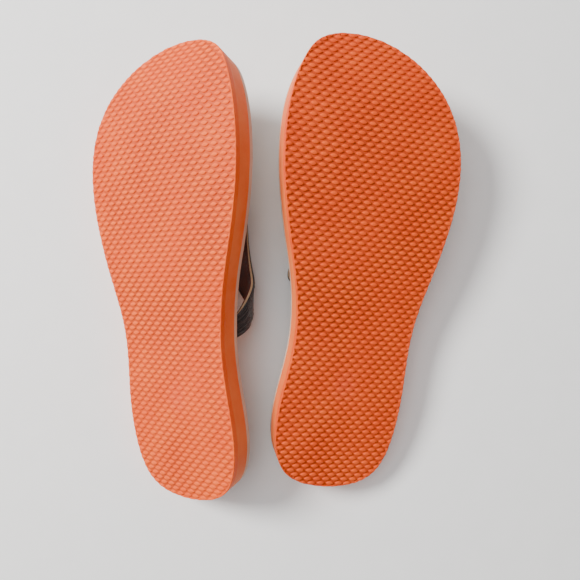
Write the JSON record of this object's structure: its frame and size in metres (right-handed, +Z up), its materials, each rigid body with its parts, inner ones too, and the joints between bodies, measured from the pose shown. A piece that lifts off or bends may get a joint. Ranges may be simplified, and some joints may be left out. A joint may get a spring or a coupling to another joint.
{
  "type": "pair of thong sandals",
  "caption": "Pair of thong sandals with layered orange foam soles and soft Y-shaped straps, lying soles up on their straps.",
  "frame": {"origin": "centre of the pair's box on the floor the pair lies on", "axes": "+Z up; +Y towards the toes; +X from the right sandal to the left one. Both sandals lie soles up, so +Z is roughly out of the outsoles."},
  "size_m": [0.205, 0.2538, 0.0717],
  "materials": {
    "outsole_foam": "orange foam with rows of small raised pads",
    "midsole_foam": "orange foam with a cut, slightly porous edge",
    "footbed_foam": "off-white foam sheet",
    "strap_lining": "dark red-brown synthetic lining, satin",
    "strap_core": "beige padding, seen at the strap's cut edge",
    "strap_upper": "black woven fabric",
    "strap_gather": "black woven fabric, bunched",
    "toe_post_cord": "black wound cord",
    "anchor_plug": "dark moulded plastic"
  },
  "bodies": {
    "right_sandal": {"right_outsole": "outsole_foam", "right_midsole": "midsole_foam", "right_footbed": "footbed_foam", "right_medial_strap_lining": "strap_lining", "right_medial_strap_core": "strap_core", "right_medial_strap_upper": "strap_upper", "right_medial_strap_gather": "strap_gather", "right_medial_strap_plug": "anchor_plug", "right_lateral_strap_lining": "strap_lining", "right_lateral_strap_core": "strap_core", "right_lateral_strap_upper": "strap_upper", "right_lateral_strap_gather": "strap_gather", "right_lateral_strap_plug": "anchor_plug", "right_toe_post_disc": "anchor_plug", "right_toe_post": "toe_post_cord", "right_strap_saddle": "strap_upper"},
    "left_sandal": {"left_outsole": "outsole_foam", "left_midsole": "midsole_foam", "left_footbed": "footbed_foam", "left_medial_strap_lining": "strap_lining", "left_medial_strap_core": "strap_core", "left_medial_strap_upper": "strap_upper", "left_medial_strap_gather": "strap_gather", "left_medial_strap_plug": "anchor_plug", "left_lateral_strap_lining": "strap_lining", "left_lateral_strap_core": "strap_core", "left_lateral_strap_upper": "strap_upper", "left_lateral_strap_gather": "strap_gather", "left_lateral_strap_plug": "anchor_plug", "left_toe_post_disc": "anchor_plug", "left_toe_post": "toe_post_cord", "left_strap_saddle": "strap_upper"}
  },
  "joints": [
    {"name": "left_lift", "type": "slide", "parent": "right_sandal", "child": "left_sandal", "axis": [0, 0, 1], "range_m": [0, 0.12]}
  ]
}
